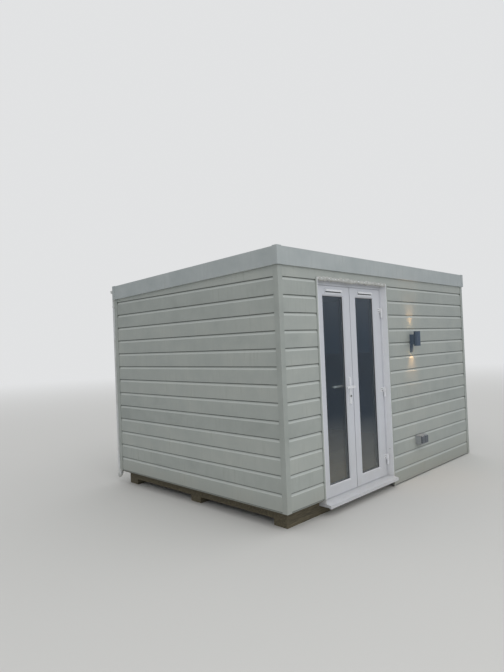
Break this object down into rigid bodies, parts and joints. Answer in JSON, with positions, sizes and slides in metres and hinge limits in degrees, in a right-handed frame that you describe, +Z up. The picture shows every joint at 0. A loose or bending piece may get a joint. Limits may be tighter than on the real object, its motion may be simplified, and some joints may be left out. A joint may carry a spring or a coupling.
{
  "type": "garden office pod",
  "caption": "Garden office pod: boarded insulated cabin with a flat roof falling to a rear gutter, glazed doors that open outwards, a wall lamp and an outdoor socket.",
  "frame": {"origin": "centre of the whole object's box in plan, at the lowest ground under the bearers", "axes": "+X along the door side to the right, +Y from the door side to the rear, +Z up"},
  "size_m": [3.702, 2.7993, 2.368],
  "materials": {
    "base_timber": "rough sawn, treated",
    "floor_board": "flat board",
    "wall_panel": "painted board",
    "sage_cladding": "satin, fine wood grain",
    "sage_trim": "satin",
    "roof_rubber": "dull",
    "gutter_plastic": "smooth",
    "white_pvc": "smooth",
    "white_hinge": "powder coated",
    "handle_metal": "gloss",
    "clear_glass": "double glazed, clear",
    "lamp_paint": "satin, dark",
    "lamp_lens": "lit",
    "socket_plastic": "satin",
    "socket_lid_plastic": "smoky"
  },
  "bodies": {
    "pod": {"base_bearers": "base_timber", "floor_frame": "base_timber", "floor_deck": "floor_board", "front_wall_left": "wall_panel", "front_wall_right": "wall_panel", "front_wall_head": "wall_panel", "left_wall": "wall_panel", "right_wall": "wall_panel", "rear_wall": "wall_panel", "front_cladding_left": "sage_cladding", "front_cladding_right": "sage_cladding", "front_cladding_head": "sage_cladding", "left_cladding": "sage_cladding", "right_cladding": "sage_cladding", "rear_cladding": "sage_cladding", "cladding_trims": "sage_trim", "roof_panel": "wall_panel", "roof_membrane": "roof_rubber", "front_fascia": "sage_trim", "rear_fascia": "sage_trim", "side_fascias": "sage_trim", "fascia_corner_caps": "sage_trim", "rear_gutter": "gutter_plastic", "rainwater_brackets": "gutter_plastic", "downpipe": "gutter_plastic", "door_linings": "white_pvc", "door_jambs": "white_pvc", "door_frame_head": "white_pvc", "door_threshold": "white_pvc", "door_sill": "white_pvc", "frame_hinges": "white_hinge", "wall_lamp_body": "lamp_paint", "wall_lamp_lenses": "lamp_lens", "socket_box": "socket_plastic", "socket_lids": "socket_lid_plastic"},
    "left_leaf": {"left_leaf_frame": "white_pvc", "left_leaf_glass": "clear_glass", "left_leaf_vent": "white_pvc", "left_leaf_hinges": "white_hinge", "handle_plates": "handle_metal"},
    "right_leaf": {"right_leaf_frame": "white_pvc", "right_leaf_glass": "clear_glass", "right_leaf_vent": "white_pvc", "right_leaf_hinges": "white_hinge"},
    "door_handle": {"door_levers": "handle_metal"}
  },
  "joints": [
    {"name": "left_leaf_swing", "type": "hinge", "parent": "pod", "child": "left_leaf", "pos_m": [-1.279, -1.24168, 0.291], "axis": [0, 0, -1], "range_deg": [0, 100]},
    {"name": "right_leaf_swing", "type": "hinge", "parent": "pod", "child": "right_leaf", "pos_m": [-0.153, -1.24168, 0.291], "axis": [0, 0, 1], "range_deg": [0, 100]},
    {"name": "handle_turn", "type": "hinge", "parent": "left_leaf", "child": "door_handle", "pos_m": [-0.774, -1.22568, 1.108], "axis": [0, -1, 0], "range_deg": [0, 40], "stiffness_Nm_per_rad": 1.5}
  ]
}
